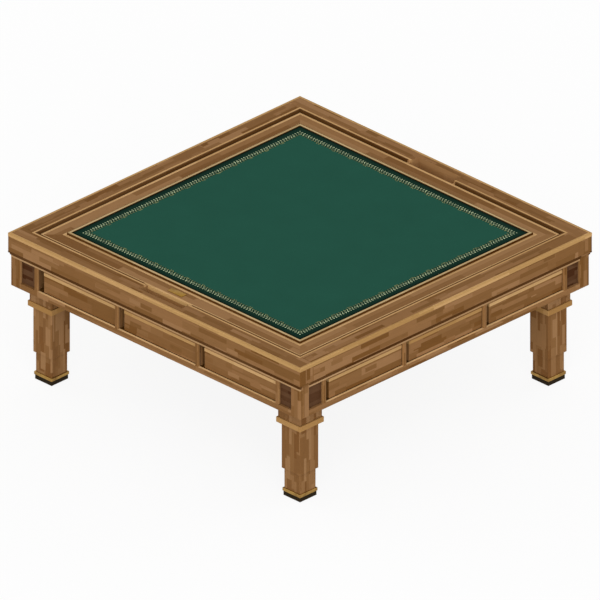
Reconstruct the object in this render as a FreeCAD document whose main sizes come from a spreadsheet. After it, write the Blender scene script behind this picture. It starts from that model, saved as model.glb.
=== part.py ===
import FreeCAD, Part
import os
import re

# Low square mahjong table with a drawer bank in each side.
# Millimetres, +Z up, origin on the floor under the middle of the table.
# The front side faces -Y. Pieces that repeat on the other sides are quarter turns of the front ones.

SIZES = {
    # Table top
    "top_side": 890.0,
    "table_height": 356.0,
    "rim_height": 44.6,
    "rim_width": 41.2,
    "lipping_width": 6.0,
    "lipping_height": 9.0,
    "groove_strip_width": 5.0,
    "groove_strip_height": 6.0,
    "groove_width": 6.8,
    "groove_depth": 14.0,
    "groove_stop_length": 6.0,
    "dark_strip_width": 3.6,
    "dark_strip_drop": 0.2,
    "well_length": 133.0,
    "well_wall": 18.0,
    "well_depth": 28.0,
    "inner_rail_width": 41.8,
    "inner_rail_drop": 4.9,
    "outer_edging_width": 6.5,
    "outer_edging_height": 9.0,
    "inner_edging_width": 7.3,
    "inner_edging_height": 5.0,
    "bead_riser_width": 1.1,
    "bead_riser_drop": 0.3,
    "bead_width": 6.1,
    "cloth_drop": 0.8,
    "cloth_thickness": 1.2,
    "playing_board_thickness": 18.0,
    "ledger_width": 32.0,
    "ledger_height": 24.0,
    "batten_width": 40.0,
    "batten_height": 20.0,
    "batten_pitch": 170.0,
    # Brass plate on the front inner rail
    "plaque_length": 43.5,
    "plaque_width": 16.5,
    "plaque_thickness": 1.0,
    "plaque_offset": 2.0,
    "plaque_setback": 12.0,
    # Bed between top and apron
    "bed_plate_thickness": 3.0,
    "bed_edge_width": 6.0,
    "bed_moulding_height": 5.0,
    "bed_moulding_setback": 2.7,
    # Apron
    "apron_setback": 4.6,
    "top_bead_height": 5.4,
    "top_bead_width": 3.0,
    "opening_height": 56.5,
    "bottom_rail_height": 13.5,
    "panel_recess": 7.5,
    "panel_thickness": 2.0,
    "corner_stile_width": 27.6,
    "end_stile_width": 9.0,
    "middle_stile_width": 8.2,
    "left_margin": 84.6,
    "right_margin": 79.8,
    # Carcass
    "carcass_rail_width": 20.0,
    "carcass_rail_height": 19.0,
    "muntin_depth": 30.0,
    "bottom_panel_thickness": 8.0,
    "cleat_width": 12.0,
    # Drawers
    "finger_slot": 14.4,
    "finger_room": 16.0,
    "front_recess": 6.2,
    "front_thickness": 12.0,
    "front_gap": 0.8,
    "front_lift": 1.5,
    "band_height": 7.6,
    "band_below_top": 6.0,
    "band_depth": 3.0,
    "band_proud": 0.3,
    "box_lift": 0.5,
    "box_headroom": 1.4,
    "box_side": 8.0,
    "box_bottom": 4.0,
    "middle_box_depth": 270.0,
    "end_box_depth": 100.0,
    "corner_gap": 16.2,
    "guide_gap": 0.6,
    "guide_clearance": 0.4,
    "guide_width": 10.0,
    "guide_height": 12.0,
    "guide_setback": 1.2,
    "stop_gap": 0.5,
    "stop_length": 40.0,
    "stop_width": 10.0,
    "stop_height": 15.0,
    # Legs
    "leg_inset": 66.5,
    "collar_side": 67.4,
    "collar_height": 36.7,
    "leg_band_side": 73.3,
    "leg_band_height": 12.7,
    "shaft_side": 56.2,
    "lower_side": 47.9,
    "lower_top": 66.5,
    "foot_band_side": 53.9,
    "foot_band_height": 7.5,
    "foot_side": 50.8,
    "foot_height": 11.0,
    "bolt_diameter": 10.0,
    "bolt_in_leg": 60.0,
    "bolt_in_block": 22.0,
    "insert_diameter": 16.0,
    "insert_length": 25.0,
    "bolt_fit": 0.15,
    # Small bevel on the boards' edges
    "edge_ease": 0.5,
}

SIDES = ("front", "right", "back", "left")
CORNERS = ("front_left", "front_right", "back_right", "back_left")
PLACES = ("left", "middle", "right")

doc = FreeCAD.newDocument("MahjongTable")
sheet = doc.addObject("Spreadsheet::Sheet", "Sizes")
for row, (alias, value) in enumerate(SIZES.items(), start=1):
    sheet.set(f"A{row}", alias)
    sheet.set(f"B{row}", str(value))
    sheet.setAlias(f"B{row}", alias)
doc.recompute()

nodes = []


# Formulas shared by several pieces. D is a distance in from the edge of the top.

HALF = "top_side / 2"
TOP = "table_height"
RIM_UNDER = "table_height - rim_height"
BED_UNDER = f"{RIM_UNDER} - bed_plate_thickness"
LIPPING_UNDER = "table_height - lipping_height"
GROOVE_FLOOR = "table_height - groove_depth"
WELL_FLOOR = "table_height - well_depth"
INNER_TOP = "table_height - inner_rail_drop"
BOARD_TOP = "table_height - cloth_drop - cloth_thickness"
LEDGER_TOP = f"{BOARD_TOP} - playing_board_thickness"

STRIP_D = "rim_width - groove_strip_width"
GROOVE_D = "rim_width"
INNER_D = "rim_width + groove_width"
RISER_D = f"{INNER_D} + inner_rail_width"
BEAD_D = f"{RISER_D} + bead_riser_width"
FIELD_D = f"{BEAD_D} + bead_width"
LEDGER_D = f"{RISER_D} + ledger_width"

FACE_D = "apron_setback"
BACKER_D = "apron_setback + top_bead_width"
PANEL_D = "apron_setback + panel_recess"
FRAME_D = "apron_setback + panel_recess + panel_thickness"
BLOCK_D = "min(left_margin; right_margin)"
CORNER_D = "apron_setback + corner_stile_width"
FRONT_D = "apron_setback + front_recess"
BOX_D = f"{FRONT_D} + front_thickness"
RAIL_D = f"{BOX_D} + guide_setback"

BANK_WIDTH = "top_side - left_margin - right_margin"
OPENING_WIDTH = f"({BANK_WIDTH} - {len(PLACES) - 1} * middle_stile_width) / {len(PLACES)}"

MOULDING_LOW = f"{BED_UNDER} - bed_moulding_height"
OPENING_HIGH = f"{MOULDING_LOW} - top_bead_height"
OPENING_LOW = f"{OPENING_HIGH} - opening_height"
APRON_LOW = f"{OPENING_LOW} - bottom_rail_height"
CARCASS_RAIL_LOW = f"{BED_UNDER} - carcass_rail_height"
PANEL_LOW = f"{OPENING_LOW} - bottom_panel_thickness"


def formula(text):
    """Turn plain size names into references to the sheet's cells."""
    return re.sub(r"\b[a-z][a-z_]*\b(?!\()", lambda word: "Sizes." + word.group(), text)


def bind(item, **formulas):
    """Bind properties to formulas; a double underscore in a name stands for a dot."""
    for name, text in formulas.items():
        item.setExpression(name.replace("__", "."), formula(text))


def minus(text):
    return f"-({text})"


def inward(distance):
    """Y of a plane that lies this far in from the front edge of the top."""
    return f"-({HALF} - ({distance}))"


def between(distance):
    """The X span that stops this far in from the left and right edges of the top."""
    return (inward(distance), f"{HALF} - ({distance})")


def place(item, x, y, z, turn):
    """Put an item at a point of the front side, then turn it by quarters about the upright axis."""
    turned = ((x, y), (minus(y), x), (minus(x), minus(y)), (y, minus(x)))[turn]
    upright = FreeCAD.Vector(0, 0, 1)
    item.Placement = FreeCAD.Placement(FreeCAD.Vector(), FreeCAD.Rotation(upright, 90 * turn))
    bind(item, Placement__Base__x=turned[0], Placement__Base__y=turned[1], Placement__Base__z=z)


def ease(board, edges):
    """Bevel the named edges of a board."""
    eased = doc.addObject("Part::Chamfer", board.Name + "_eased")
    eased.Base = board
    width = float(sheet.edge_ease)
    eased.Edges = [(edge, width, width) for edge in edges]
    return eased


def slab(name, x, y, z, turn=0, eased=False):
    """A square-cut board; x, y and z are its low and high faces on the front side."""
    board = doc.addObject("Part::Box", name)
    bind(
        board,
        Length=f"({x[1]}) - ({x[0]})",
        Width=f"({y[1]}) - ({y[0]})",
        Height=f"({z[1]}) - ({z[0]})",
    )
    place(board, x[0], y[0], z[0], turn)
    if eased:
        return ease(board, range(1, 13))
    return board


def mitred(name, outer, inner, z, turn=0, left=None, right=None, eased=False):
    """A strip along one side, mitred at both ends; left or right gives an end cut square instead."""
    strip = doc.addObject("Part::Wedge", name)
    low_outer, high_outer = between(outer)
    low_inner, high_inner = between(inner)
    bind(
        strip,
        Ymin=inward(outer),
        Ymax=inward(inner),
        Xmin=left or low_outer,
        Xmax=right or high_outer,
        X2min=left or low_inner,
        X2max=right or high_inner,
        Zmin=z[0],
        Zmax=z[1],
        Z2min=z[0],
        Z2max=z[1],
    )
    place(strip, "0", "0", "0", turn)
    if not eased:
        return strip
    strip.recompute()
    edges = strip.Shape.Edges
    by_length = sorted(range(1, len(edges) + 1), key=lambda number: -edges[number - 1].Length)
    return ease(strip, by_length[:4])


def rod(name, x, y, z, diameter, turn=0):
    """An upright round rod between two heights."""
    round_bar = doc.addObject("Part::Cylinder", name)
    bind(round_bar, Radius=f"({diameter}) / 2", Height=f"({z[1]}) - ({z[0]})")
    place(round_bar, x, y, z[0], turn)
    return round_bar


def cut(name, base, tools):
    """Take the tools away from the base."""
    tool = tools[0]
    if len(tools) > 1:
        tool = doc.addObject("Part::MultiFuse", name + "_tools")
        tool.Shapes = tools
    result = doc.addObject("Part::Cut", name)
    result.Base = base
    result.Tool = tool
    return result


def fuse(name, pieces):
    joined = doc.addObject("Part::MultiFuse", name)
    joined.Shapes = pieces
    return joined


def node(name, pieces):
    """Name a sub-part; several pieces stay separate solids in one group."""
    whole = pieces[0]
    if len(pieces) > 1:
        whole = doc.addObject("Part::Compound", name)
        whole.Links = pieces
    whole.Label = name
    nodes.append(whole)


def around(make):
    """One piece, or a list of pieces, for each side of the table."""
    made = []
    for turn in range(len(SIDES)):
        pieces = make(turn)
        made.extend(pieces if isinstance(pieces, list) else [pieces])
    return made


def is_long(turn):
    """The front and back sides carry the long boards, which run past the side ones."""
    return turn % 2 == 0


# Rim of the top

WELL = (minus("well_length / 2"), "well_length / 2")


def long_rim_board(turn):
    """Front or back board: full length, with the rebates for the trim and the well."""
    z = (RIM_UNDER, TOP)
    rebate = (LIPPING_UNDER, TOP)
    depth = (inward("0"), inward(GROOVE_D))
    board = slab("rim_long", between("0"), depth, z, turn, eased=True)
    tools = [
        slab("edge_rebate", between("0"), (inward("0"), inward("lipping_width")), rebate, turn),
        slab("end_rebate", (inward("0"), inward("lipping_width")), depth, rebate, turn),
        slab("end_rebate", (f"{HALF} - lipping_width", HALF), depth, rebate, turn),
        slab(
            "strip_rebate",
            between(STRIP_D),
            (inward(STRIP_D), inward(GROOVE_D)),
            (f"{TOP} - groove_strip_height", TOP),
            turn,
        ),
        slab("well_cut", WELL, (inward("well_wall"), inward(GROOVE_D)), (WELL_FLOOR, TOP), turn),
    ]
    return cut("rim_long_board", board, tools)


def side_rim_board(turn):
    """Left or right board: fits between the long boards."""
    length = between(GROOVE_D)
    board = slab("rim_side", length, (inward("0"), inward(GROOVE_D)), (RIM_UNDER, TOP), turn, eased=True)
    tools = [
        slab("edge_rebate", length, (inward("0"), inward("lipping_width")), (LIPPING_UNDER, TOP), turn),
        slab(
            "strip_rebate",
            length,
            (inward(STRIP_D), inward(GROOVE_D)),
            (f"{TOP} - groove_strip_height", TOP),
            turn,
        ),
    ]
    return cut("rim_side_board", board, tools)


def lipping(turn):
    return mitred("lipping", "0", "lipping_width", (LIPPING_UNDER, TOP), turn, eased=True)


def groove_strips(turn):
    """Pale strip beside the groove; the well parts it on the front and back."""
    z = (f"{TOP} - groove_strip_height", TOP)
    if not is_long(turn):
        return mitred("groove_strip", STRIP_D, GROOVE_D, z, turn, eased=True)
    return [
        mitred("groove_strip", STRIP_D, GROOVE_D, z, turn, right=WELL[0], eased=True),
        mitred("groove_strip", STRIP_D, GROOVE_D, z, turn, left=WELL[1], eased=True),
    ]


def groove_lining(turn):
    """Dark base of the groove, dark strip along its outer wall, and stops that close it at a well."""
    base_y = (inward(GROOVE_D), inward(INNER_D))
    base_z = (RIM_UNDER, GROOVE_FLOOR)
    strip_d = "rim_width + dark_strip_width"
    strip_y = (inward(GROOVE_D), inward(strip_d))
    strip_z = (GROOVE_FLOOR, f"{TOP} - dark_strip_drop")
    if not is_long(turn):
        return [
            slab("groove_base", between(INNER_D), base_y, base_z, turn),
            slab("dark_strip", between(strip_d), strip_y, strip_z, turn),
        ]
    low, high = between(GROOVE_D)
    left_stop = f"{WELL[0]} - groove_stop_length"
    right_stop = f"{WELL[1]} + groove_stop_length"
    pieces = [slab("well_base", WELL, base_y, (RIM_UNDER, WELL_FLOOR), turn)]
    for span in ((low, WELL[0]), (WELL[1], high)):
        pieces.append(slab("groove_base", span, base_y, base_z, turn))
    for span in ((low, left_stop), (right_stop, high)):
        pieces.append(slab("dark_strip", span, strip_y, strip_z, turn))
    for span in ((left_stop, WELL[0]), (WELL[1], right_stop)):
        pieces.append(slab("groove_stop", span, base_y, (GROOVE_FLOOR, INNER_TOP), turn))
    return pieces


def make_rim():
    node("rim_long_boards", [long_rim_board(0), long_rim_board(2)])
    node("rim_side_boards", [side_rim_board(1), side_rim_board(3)])
    node("rim_lippings", around(lipping))
    node("groove_strips", around(groove_strips))
    node("groove_lining", around(groove_lining))


# Inner frame and playing field

def inner_rail(turn):
    rail = mitred("inner_rail", INNER_D, RISER_D, (BED_UNDER, INNER_TOP), turn)
    length = between(INNER_D)
    tools = [
        slab(
            "outer_rebate",
            length,
            (inward(INNER_D), inward(f"{INNER_D} + outer_edging_width")),
            (f"{INNER_TOP} - outer_edging_height", INNER_TOP),
            turn,
        ),
        slab(
            "inner_rebate",
            length,
            (inward(f"{RISER_D} - inner_edging_width"), inward(RISER_D)),
            (f"{INNER_TOP} - inner_edging_height", INNER_TOP),
            turn,
        ),
    ]
    return cut("inner_rail_rebated", rail, tools)


def inner_edging(turn):
    return [
        mitred(
            "outer_edging",
            INNER_D,
            f"{INNER_D} + outer_edging_width",
            (f"{INNER_TOP} - outer_edging_height", INNER_TOP),
            turn,
            eased=True,
        ),
        mitred(
            "inner_edging",
            f"{RISER_D} - inner_edging_width",
            RISER_D,
            (f"{INNER_TOP} - inner_edging_height", INNER_TOP),
            turn,
            eased=True,
        ),
    ]


def bead_riser(turn):
    return mitred("bead_riser", RISER_D, BEAD_D, (LEDGER_TOP, f"{TOP} - bead_riser_drop"), turn)


def field_bead(turn):
    return mitred("field_bead", BEAD_D, FIELD_D, (LEDGER_TOP, TOP), turn, eased=True)


def ledger(turn):
    return mitred("ledger", RISER_D, LEDGER_D, (f"{LEDGER_TOP} - ledger_height", LEDGER_TOP), turn)


def batten(step):
    """Cross batten under the playing board; step counts pitches from the middle."""
    middle = f"{step} * batten_pitch"
    y = (f"{middle} - batten_width / 2", f"{middle} + batten_width / 2")
    return slab("batten", between(LEDGER_D), y, (f"{LEDGER_TOP} - batten_height", LEDGER_TOP))


def plaque():
    start = f"{INNER_D} + plaque_setback"
    x = ("plaque_offset - plaque_length / 2", "plaque_offset + plaque_length / 2")
    y = (inward(start), inward(f"{start} + plaque_width"))
    return slab("plaque", x, y, (INNER_TOP, f"{INNER_TOP} + plaque_thickness"))


def make_field():
    node("inner_rails", around(inner_rail))
    node("inner_rail_edging", around(inner_edging))
    node("bead_risers", around(bead_riser))
    node("field_beads", around(field_bead))
    span = between(FIELD_D)
    node("playing_board", [slab("board", span, span, (LEDGER_TOP, BOARD_TOP))])
    node("playing_cloth", [slab("cloth", span, span, (BOARD_TOP, f"{BOARD_TOP} + cloth_thickness"))])
    node("field_ledgers", around(ledger))
    node("cross_battens", [batten(step) for step in (-1, 0, 1)])
    node("brass_plaque", [plaque()])


# Bed between the top and the apron

def bed_plate(turn):
    """Plate under the rim, behind the dark edge; on the sides a filler closes each corner."""
    z = (BED_UNDER, RIM_UNDER)
    y = (inward("bed_edge_width"), inward(INNER_D))
    if is_long(turn):
        return slab("bed_plate", between("bed_edge_width"), y, z, turn)
    low, high = between("bed_edge_width")
    edge = (inward("0"), inward("bed_edge_width"))
    return [
        slab("bed_plate", between(INNER_D), y, z, turn),
        slab("bed_filler", (low, inward(CORNER_D)), edge, z, turn),
        slab("bed_filler", (f"{HALF} - ({CORNER_D})", high), edge, z, turn),
    ]


def bed_moulding(turn):
    """Dark edge of the bed plate, and the dark moulding set back under it."""
    edge_x = between("0") if is_long(turn) else between(CORNER_D)
    moulding_x = between("bed_moulding_setback") if is_long(turn) else between(CORNER_D)
    return [
        slab("bed_edge", edge_x, (inward("0"), inward("bed_edge_width")), (BED_UNDER, RIM_UNDER), turn),
        slab(
            "bed_moulding",
            moulding_x,
            (inward("bed_moulding_setback"), inward(BACKER_D)),
            (MOULDING_LOW, BED_UNDER),
            turn,
        ),
    ]


def top_bead(turn):
    x = between(FACE_D) if is_long(turn) else between(CORNER_D)
    return slab("top_bead", x, (inward(FACE_D), inward(BACKER_D)), (OPENING_HIGH, MOULDING_LOW), turn)


def make_bed():
    node("bed_plates", around(bed_plate))
    node("bed_mouldings", around(bed_moulding))
    node("apron_top_beads", around(top_bead))


# Apron

def opening(step):
    """Left and right edge of a drawer opening; step counts openings from the left one."""
    low = f"{inward('left_margin')} + {step} * ({OPENING_WIDTH} + middle_stile_width)"
    return (low, f"{low} + {OPENING_WIDTH}")


FACE_Y = (inward(FACE_D), inward(FRAME_D))
OPENING_Z = (OPENING_LOW, OPENING_HIGH)
PANEL_LEFT = f"{opening(0)[0]} - end_stile_width"
PANEL_RIGHT = f"{opening(2)[1]} + end_stile_width"


def apron_rails(turn):
    """Bottom rail, and the top rail behind the pale bead and the moulding."""
    top_x = between(FACE_D) if is_long(turn) else between(CORNER_D)
    top_y = (inward(BACKER_D), inward(FRAME_D))
    return [
        slab("bottom_rail", between(CORNER_D), FACE_Y, (APRON_LOW, OPENING_LOW), turn, eased=True),
        slab("top_rail", top_x, top_y, (OPENING_HIGH, BED_UNDER), turn),
    ]


def stiles(turn):
    """Stiles between the openings and beside the corner panels."""
    spans = [
        (PANEL_LEFT, opening(0)[0]),
        (opening(0)[1], opening(1)[0]),
        (opening(1)[1], opening(2)[0]),
        (opening(2)[1], PANEL_RIGHT),
    ]
    return [slab("stile", span, FACE_Y, OPENING_Z, turn, eased=True) for span in spans]


def corner_stiles(turn):
    """Outer stiles; on the left and right sides they rise to the bed plate."""
    outer = FACE_D if is_long(turn) else FRAME_D
    low, high = between(outer)
    z = (APRON_LOW, OPENING_HIGH if is_long(turn) else BED_UNDER)
    return [
        slab("corner_stile", (low, inward(CORNER_D)), FACE_Y, z, turn, eased=True),
        slab("corner_stile", (f"{HALF} - ({CORNER_D})", high), FACE_Y, z, turn, eased=True),
    ]


def corner_panels(turn):
    """Dark panels at the bottom of the recess in each corner face."""
    y = (inward(PANEL_D), inward(FRAME_D))
    return [
        slab("corner_panel", (inward(CORNER_D), PANEL_LEFT), y, OPENING_Z, turn),
        slab("corner_panel", (PANEL_RIGHT, f"{HALF} - ({CORNER_D})"), y, OPENING_Z, turn),
    ]


def make_apron():
    node("apron_rails", around(apron_rails))
    node("apron_stiles", around(stiles))
    node("corner_stiles", around(corner_stiles))
    node("corner_panels", around(corner_panels))


# Carcass behind the apron

LEG_AT = inward("leg_inset")


def corner_block(turn):
    """Solid block in each corner, bored for the leg's threaded insert."""
    span = (inward(FRAME_D), inward(BLOCK_D))
    block = slab("corner_block", span, span, (APRON_LOW, BED_UNDER), turn)
    bore_z = (APRON_LOW, f"{APRON_LOW} + insert_length + bolt_fit")
    bore = rod("insert_bore", LEG_AT, LEG_AT, bore_z, "insert_diameter + 2 * bolt_fit", turn)
    return cut("corner_block_bored", block, [bore])


def carcass_rail(turn):
    y = (inward(RAIL_D), inward(f"{RAIL_D} + carcass_rail_width"))
    return slab("carcass_rail", between(BLOCK_D), y, (CARCASS_RAIL_LOW, BED_UNDER), turn)


def muntins(turn):
    """Short posts behind the middle stiles, from the bottom panel to the carcass rail."""
    y = (inward(FRAME_D), inward(f"{FRAME_D} + muntin_depth"))
    spans = [(opening(0)[1], opening(1)[0]), (opening(1)[1], opening(2)[0])]
    return [slab("muntin", span, y, (OPENING_LOW, CARCASS_RAIL_LOW), turn) for span in spans]


def bottom_panel():
    """Panel that the drawers slide on, notched round the corner blocks."""
    span = between(FRAME_D)
    z = (PANEL_LOW, OPENING_LOW)
    notch = (inward(FRAME_D), inward(BLOCK_D))
    notches = around(lambda turn: slab("panel_notch", notch, notch, z, turn))
    return cut("panel_notched", slab("panel", span, span, z), notches)


def cleat(turn):
    y = (inward(FRAME_D), inward(f"{FRAME_D} + cleat_width"))
    return slab("cleat", between(BLOCK_D), y, (APRON_LOW, PANEL_LOW), turn)


def make_carcass():
    node("corner_blocks", around(corner_block))
    node("carcass_rails", around(carcass_rail))
    node("drawer_muntins", around(muntins))
    node("bottom_panel", [bottom_panel()])
    node("bottom_cleats", around(cleat))


# Drawers

BOX_DEPTHS = ("end_box_depth", "middle_box_depth", "end_box_depth")
FRONT_HIGH = f"{OPENING_HIGH} - front_gap"
BAND_HIGH = f"{FRONT_HIGH} - band_below_top"
BOX_LOW = f"{OPENING_LOW} + box_lift"


def front_span(step):
    """X span of a drawer front: a finger slot is left open at its left end."""
    low, high = opening(step)
    return (f"{low} + finger_slot", f"{high} - front_gap")


def drawer_front(step, turn):
    """Front board with the pale band let into its face."""
    x = front_span(step)
    z = (f"{OPENING_LOW} + front_lift", FRONT_HIGH)
    board = slab("front_board", x, (inward(FRONT_D), inward(BOX_D)), z, turn, eased=True)
    band_z = (f"{BAND_HIGH} - band_height", BAND_HIGH)
    back = inward(f"{FRONT_D} + band_depth")
    channel = slab("band_channel", x, (inward(FRONT_D), back), band_z, turn)
    band = slab("front_band", x, (inward(f"{FRONT_D} - band_proud"), back), band_z, turn)
    return [cut("front_channelled", board, [channel]), band]


def box_span(step):
    """X span of a drawer box: a left box stops short of the drawers in the next side round the corner."""
    low = f"{front_span(step)[0]} + finger_room"
    if PLACES[step] == "left":
        low = inward(f"{BOX_D} + end_box_depth + corner_gap")
    return (low, f"{opening(step)[1]} - guide_clearance - guide_width - guide_gap")


def drawer_box(step, turn):
    """Two sides, a back and a bottom behind the front."""
    low, high = box_span(step)
    depth = BOX_DEPTHS[step]
    inside = (f"{low} + box_side", f"{high} - box_side")
    start = inward(BOX_D)
    end = inward(f"{BOX_D} + {depth}")
    back = inward(f"{BOX_D} + {depth} - box_side")
    z = (BOX_LOW, f"{CARCASS_RAIL_LOW} - box_headroom")
    return [
        slab("box_left", (low, inside[0]), (start, end), z, turn),
        slab("box_right", (inside[1], high), (start, end), z, turn),
        slab("box_back", inside, (back, end), z, turn),
        slab("box_bottom", inside, (start, back), (BOX_LOW, f"{BOX_LOW} + box_bottom"), turn),
    ]


def drawer_guides(step, turn):
    """A guide on each side of the box, and a stop behind it."""
    low, high = box_span(step)
    depth = BOX_DEPTHS[step]
    y = (inward(RAIL_D), inward(f"{BOX_D} + {depth}"))
    z = (OPENING_LOW, f"{OPENING_LOW} + guide_height")
    stop_start = f"{BOX_D} + {depth} + stop_gap"
    stop_y = (inward(stop_start), inward(f"{stop_start} + stop_width"))
    stop_low = f"({low} + {high} - stop_length) / 2"
    stop_z = (OPENING_LOW, f"{OPENING_LOW} + stop_height")
    return [
        slab("guide", (f"{low} - guide_gap - guide_width", f"{low} - guide_gap"), y, z, turn),
        slab("guide", (f"{high} + guide_gap", f"{high} + guide_gap + guide_width"), y, z, turn),
        slab("stop", (stop_low, f"{stop_low} + stop_length"), stop_y, stop_z, turn),
    ]


def make_drawers():
    guides = []
    for turn, side in enumerate(SIDES):
        for step, name in enumerate(PLACES):
            node(f"{side}_{name}_drawer_front", drawer_front(step, turn))
            node(f"{side}_{name}_drawer_box", drawer_box(step, turn))
            guides.extend(drawer_guides(step, turn))
    node("drawer_guides", guides)


# Legs

COLLAR_LOW = f"{APRON_LOW} - collar_height"
LEG_BAND_LOW = f"{COLLAR_LOW} - leg_band_height"
FOOT_BAND_HIGH = "foot_height + foot_band_height"


def square(name, side, z, turn, eased=False):
    """A square block on a leg's upright axis."""
    span = (f"{LEG_AT} - {side} / 2", f"{LEG_AT} + {side} / 2")
    return slab(name, span, span, z, turn, eased)


def leg(turn):
    """Collar, shaft and slimmer lower shaft in one piece, bored for the hanger bolt."""
    collar = square("collar", "collar_side", (COLLAR_LOW, APRON_LOW), turn, eased=True)
    shaft = square("shaft", "shaft_side", ("lower_top", APRON_LOW), turn, eased=True)
    lower = square("lower_shaft", "lower_side", ("foot_height", APRON_LOW), turn, eased=True)
    bore_z = (f"{APRON_LOW} - bolt_in_leg - bolt_fit", APRON_LOW)
    bore = rod("bolt_bore", LEG_AT, LEG_AT, bore_z, "bolt_diameter + 2 * bolt_fit", turn)
    return cut("leg_bored", fuse("leg_blank", [collar, shaft, lower]), [bore])


def ring(name, outer, inner, z, turn):
    """A square ring that fits round the leg."""
    block = square(name + "_outer", outer, z, turn, eased=True)
    return cut(name, block, [square(name + "_hole", inner, z, turn)])


def leg_band(turn):
    return ring("leg_band", "leg_band_side", "shaft_side", (LEG_BAND_LOW, COLLAR_LOW), turn)


def foot_band(turn):
    return ring("foot_band", "foot_band_side", "lower_side", ("foot_height", FOOT_BAND_HIGH), turn)


def foot(turn):
    return square("foot", "foot_side", ("0", "foot_height"), turn, eased=True)


def leg_bolt(turn):
    """Hanger bolt, and the threaded insert that it screws into."""
    bolt_z = (f"{APRON_LOW} - bolt_in_leg", f"{APRON_LOW} + bolt_in_block")
    bolt = rod("bolt", LEG_AT, LEG_AT, bolt_z, "bolt_diameter", turn)
    insert_z = (APRON_LOW, f"{APRON_LOW} + insert_length")
    insert = rod("insert", LEG_AT, LEG_AT, insert_z, "insert_diameter", turn)
    bore = rod("insert_thread", LEG_AT, LEG_AT, insert_z, "bolt_diameter + 2 * bolt_fit", turn)
    return [bolt, cut("insert_bored", insert, [bore])]


def make_legs():
    for turn, corner in enumerate(CORNERS):
        node(f"{corner}_leg", [leg(turn)])
    node("leg_bands", around(leg_band))
    node("foot_bands", around(foot_band))
    node("feet", around(foot))
    node("leg_bolts", around(leg_bolt))


make_rim()
make_field()
make_bed()
make_apron()
make_carcass()
make_drawers()
make_legs()
doc.recompute()

for item in doc.Objects:
    if "Invalid" in item.State or "Error" in item.State:
        raise RuntimeError(f"{item.Label} failed to build: {item.State}")
for item in nodes:
    if item.Shape.isNull() or not item.Shape.isValid():
        raise RuntimeError(f"{item.Label} has no valid shape")

os.makedirs("parts", exist_ok=True)
for item in nodes:
    item.Shape.exportStep(f"parts/{item.Label}.step")
    print(f"{item.Label}: {len(item.Shape.Solids)} solids, {item.Shape.Volume / 1000:.1f} cm3")
box = Part.makeCompound([item.Shape for item in nodes]).BoundBox
print(f"{len(nodes)} nodes, {box.XLength:.1f} x {box.YLength:.1f} x {box.ZLength:.1f} mm")
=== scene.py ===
import math

import bmesh
import bpy
from mathutils import Matrix, Vector


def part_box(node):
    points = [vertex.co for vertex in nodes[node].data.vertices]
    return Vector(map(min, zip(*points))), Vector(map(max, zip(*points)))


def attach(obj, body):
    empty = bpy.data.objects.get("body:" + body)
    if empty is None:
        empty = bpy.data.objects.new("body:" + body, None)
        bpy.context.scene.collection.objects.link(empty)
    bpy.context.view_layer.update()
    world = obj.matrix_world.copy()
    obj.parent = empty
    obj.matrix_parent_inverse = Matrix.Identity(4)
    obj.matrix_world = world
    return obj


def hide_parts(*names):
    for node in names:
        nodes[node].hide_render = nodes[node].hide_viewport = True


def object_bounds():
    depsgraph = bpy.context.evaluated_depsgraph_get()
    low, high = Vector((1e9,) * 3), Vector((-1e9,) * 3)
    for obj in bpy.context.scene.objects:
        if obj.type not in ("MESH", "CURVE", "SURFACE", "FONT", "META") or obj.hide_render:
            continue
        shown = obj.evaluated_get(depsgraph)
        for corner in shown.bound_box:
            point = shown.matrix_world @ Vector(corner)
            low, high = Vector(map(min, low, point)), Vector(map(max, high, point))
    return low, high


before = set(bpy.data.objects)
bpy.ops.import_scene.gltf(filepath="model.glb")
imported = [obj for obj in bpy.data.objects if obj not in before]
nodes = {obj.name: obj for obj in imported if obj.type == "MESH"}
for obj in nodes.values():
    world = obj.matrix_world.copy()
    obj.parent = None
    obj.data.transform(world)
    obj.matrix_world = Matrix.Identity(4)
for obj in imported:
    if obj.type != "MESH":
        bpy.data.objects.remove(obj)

# Looks of a low square mahjong table. Metres, +Z up, the front side faces -Y.

cad_low, cad_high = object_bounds()

SIDES = ("front", "right", "back", "left")
PLACES = ("left", "middle", "right")
CORNERS = ("front_left", "front_right", "back_right", "back_left")

MM = 0.001
WHITE = (1, 1, 1, 1)


# Camera, light and floor

CAMERA_AZIMUTH = math.radians(45)
CAMERA_ELEVATION = math.radians(27.92)
CAMERA_TARGET = Vector((0, 0, 0.1914))
CAMERA_DISTANCE = 4.0
CAMERA_RANGE = 100.0
VIEW_WIDTH = 1.2931

FLOOR_SIDE = 60.0
FLOOR_PAINT = (0.92, 0.92, 0.92, 1)
FLOOR_SHADOW_SHARE = 0.11
BACKDROP_STRENGTH = 1.0
SKY_STRENGTH = 0.53
LAMP_SPREAD = math.radians(50)
LAMP_ELEVATION = math.radians(28)
KEY_STRENGTH = 1.9
FILL_STRENGTH = 0.5
FILL_TURN = math.radians(130)


def towards(azimuth, elevation):
    """Direction out from the table; azimuth 0 is over its front side."""
    return Vector((
        math.sin(azimuth) * math.cos(elevation),
        -math.cos(azimuth) * math.cos(elevation),
        math.sin(elevation),
    ))


def make_camera():
    """Parallel view over the corner between the front and right sides."""
    data = bpy.data.cameras.new("camera")
    data.type = "ORTHO"
    data.ortho_scale = VIEW_WIDTH
    data.clip_end = CAMERA_RANGE
    camera = bpy.data.objects.new("camera", data)
    back = towards(CAMERA_AZIMUTH, CAMERA_ELEVATION)
    camera.location = CAMERA_TARGET + back * CAMERA_DISTANCE
    camera.rotation_euler = (-back).to_track_quat("-Z", "Y").to_euler()
    bpy.context.scene.collection.objects.link(camera)
    bpy.context.scene.camera = camera


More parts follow.
